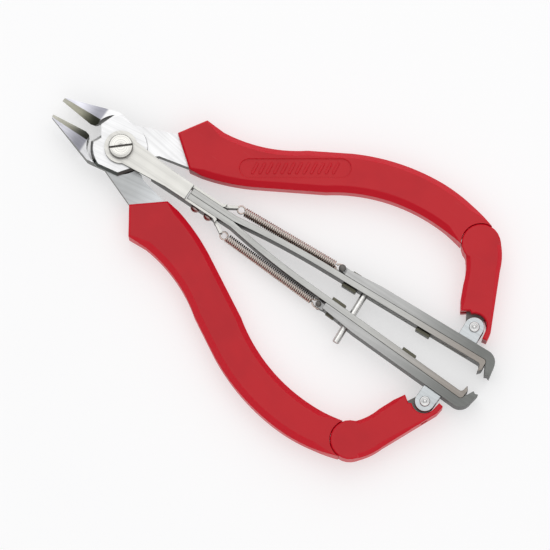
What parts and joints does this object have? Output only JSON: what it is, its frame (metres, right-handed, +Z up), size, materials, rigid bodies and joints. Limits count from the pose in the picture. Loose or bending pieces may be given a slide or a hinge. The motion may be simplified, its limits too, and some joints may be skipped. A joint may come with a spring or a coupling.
{
  "type": "wire-stripping side-cutter nippers",
  "caption": "Side-cutting nippers with red grips, jointed legs and spring-returned sliding wire-stripper arms between the handles.",
  "frame": {"origin": "on the main pivot's axis, at the underside of the pivot nut, where the tool lies on a surface", "axes": "+X from the pivot along the tool to the stripping hooks, +Y towards the handle of the rear half, +Z up out of the face with the slotted screw"},
  "size_m": [0.1725, 0.1004, 0.0121],
  "materials": {
    "red_cover": "semi-gloss moulded red plastic with a soft bevel",
    "jaw_steel": "fine satin ground tool steel with ground blade facets",
    "yoke_steel": "bright satin folded sheet",
    "bar_steel": "grey brushed spring steel, scratched lengthwise",
    "zinc_steel": "bright zinc-plated rivets, clevises and pins",
    "screw_steel": "polished screw head with turning marks",
    "spring_wire": "drawn spring wire",
    "dark_steel": "plain cold-rolled steel inside the covers"
  },
  "bodies": {
    "yoke_body": {"centre_yoke": "yoke_steel", "pivot_screw": "screw_steel", "pivot_nut": "screw_steel", "yoke_rivets": "zinc_steel", "upper_bar_root": "bar_steel", "lower_bar_root": "bar_steel"},
    "rear_half": {"rear_jaw_half": "jaw_steel", "upper_grip_cover": "red_cover", "upper_knuckle_rivet": "dark_steel"},
    "front_half": {"front_jaw_half": "jaw_steel", "lower_grip_cover": "red_cover", "lower_knuckle_rivet": "dark_steel"},
    "upper_leg": {"upper_leg_link": "dark_steel", "upper_leg_cover": "red_cover"},
    "lower_leg": {"lower_leg_link": "dark_steel", "lower_leg_cover": "red_cover"},
    "upper_arm": {"upper_inner_bar": "bar_steel", "upper_spring": "spring_wire"},
    "lower_arm": {"lower_inner_bar": "bar_steel", "lower_spring": "spring_wire"},
    "upper_bar": {"upper_outer_bar": "bar_steel", "upper_slide_lugs": "zinc_steel", "upper_spring_pin": "zinc_steel", "upper_clevis": "zinc_steel", "upper_clevis_rivet": "zinc_steel", "guide_pin": "zinc_steel"},
    "lower_bar": {"lower_outer_bar": "bar_steel", "lower_slide_lugs": "zinc_steel", "lower_spring_pin": "zinc_steel", "lower_clevis": "zinc_steel", "lower_clevis_rivet": "zinc_steel"}
  },
  "joints": [
    {"name": "front_half_hinge", "type": "hinge", "parent": "yoke_body", "child": "front_half", "pos_m": [0, 0, 0.005], "axis": [0, 0, 1], "range_deg": [0, 6], "stiffness_Nm_per_rad": 1.2, "springref_deg": -1.15},
    {"name": "rear_half_hinge", "type": "hinge", "parent": "yoke_body", "child": "rear_half", "pos_m": [0, 0, 0.005], "axis": [0, 0, 1], "range_deg": [-6.01, 0]},
    {"name": "upper_leg_hinge", "type": "hinge", "parent": "rear_half", "child": "upper_leg", "pos_m": [0.1192, 0.04, 0.005], "axis": [0, 0, 1], "range_deg": [0, 37.58]},
    {"name": "lower_leg_hinge", "type": "hinge", "parent": "front_half", "child": "lower_leg", "pos_m": [0.1192, -0.04, 0.005], "axis": [0, 0, 1], "range_deg": [-37.58, 0]},
    {"name": "upper_arm_flex", "type": "hinge", "parent": "yoke_body", "child": "upper_arm", "pos_m": [0.046, 0.0011, 0.005], "axis": [0, 0, 1], "range_deg": [-1.6, 0]},
    {"name": "lower_arm_flex", "type": "hinge", "parent": "yoke_body", "child": "lower_arm", "pos_m": [0.046, -0.0011, 0.005], "axis": [0, 0, 1], "range_deg": [0, 1.6]},
    {"name": "upper_bar_slide", "type": "slide", "parent": "upper_arm", "child": "upper_bar", "axis": [0.9993, 0.0384, 0], "range_m": [0, 0.01491], "deforming": ["upper_spring"]},
    {"name": "lower_bar_slide", "type": "slide", "parent": "lower_arm", "child": "lower_bar", "axis": [0.9993, -0.0384, 0], "range_m": [0, 0.01491], "deforming": ["lower_spring"]}
  ],
  "couplings": [
    {"joint": "rear_half_hinge", "follows": "front_half_hinge", "ratio": -1},
    {"joint": "upper_leg_hinge", "follows": "front_half_hinge", "ratio": 6.25},
    {"joint": "lower_leg_hinge", "follows": "front_half_hinge", "ratio": -6.25},
    {"joint": "upper_arm_flex", "follows": "front_half_hinge", "ratio": -0.26667},
    {"joint": "lower_arm_flex", "follows": "front_half_hinge", "ratio": 0.26667},
    {"joint": "upper_bar_slide", "follows": "front_half_hinge", "m_per_rad": 0.14209},
    {"joint": "lower_bar_slide", "follows": "front_half_hinge", "m_per_rad": 0.14209}
  ]
}
